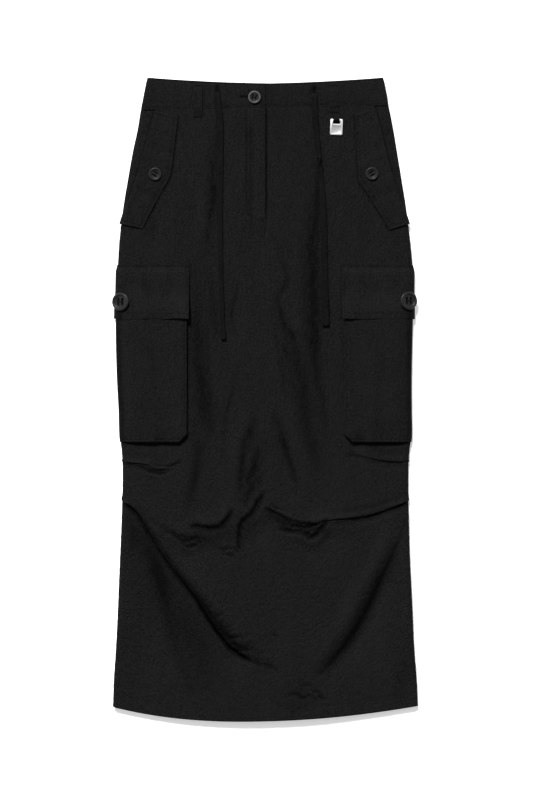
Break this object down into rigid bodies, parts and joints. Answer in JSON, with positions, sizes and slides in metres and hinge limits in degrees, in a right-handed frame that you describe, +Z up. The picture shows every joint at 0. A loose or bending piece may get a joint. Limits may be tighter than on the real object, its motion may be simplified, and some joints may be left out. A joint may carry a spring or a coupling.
{
  "type": "cargo utility skirt",
  "caption": "Long straight cargo utility skirt with a button waist, tie cords, slant hip flaps, flapped bellows side pockets, side tucks and a small hinged metal tag, laid flat.",
  "frame": {"origin": "middle of the skirt's footprint, on the surface that it lies on", "axes": "+Z up out of the surface and through the front, +Y towards the waist, +X towards the wearer's left"},
  "size_m": [0.4373, 0.9153, 0.0249],
  "materials": {
    "nylon": "crinkled matt nylon",
    "tie_nylon": "matt nylon",
    "button_plastic": "satin",
    "steel": "brushed"
  },
  "bodies": {
    "skirt": {"back": "nylon", "belt_loop_back": "nylon", "belt_loop_left": "nylon", "belt_loop_right": "nylon", "cargo_button_left": "button_plastic", "cargo_button_right": "button_plastic", "cargo_flap_left": "nylon", "cargo_flap_right": "nylon", "cargo_gusset_left": "nylon", "cargo_gusset_right": "nylon", "cargo_pocket_left": "nylon", "cargo_pocket_right": "nylon", "drawcord_end_left": "tie_nylon", "drawcord_end_right": "tie_nylon", "drawcord_left": "tie_nylon", "drawcord_right": "tie_nylon", "front_left": "nylon", "front_right": "nylon", "hip_button_left": "button_plastic", "hip_button_right": "button_plastic", "hip_facing_left": "nylon", "hip_facing_right": "nylon", "hip_flap_left": "nylon", "hip_flap_right": "nylon", "tag_strip": "nylon", "waist_button": "button_plastic", "waistband_back": "nylon", "waistband_left": "nylon", "waistband_right": "nylon"},
    "tag": {"tag": "steel"}
  },
  "joints": [
    {"name": "tag_swing", "type": "hinge", "parent": "skirt", "child": "tag", "pos_m": [0.10039, 0.39681, 0.01484], "axis": [-0.9987, 0.0351, 0.0373], "range_deg": [0, 120]}
  ]
}
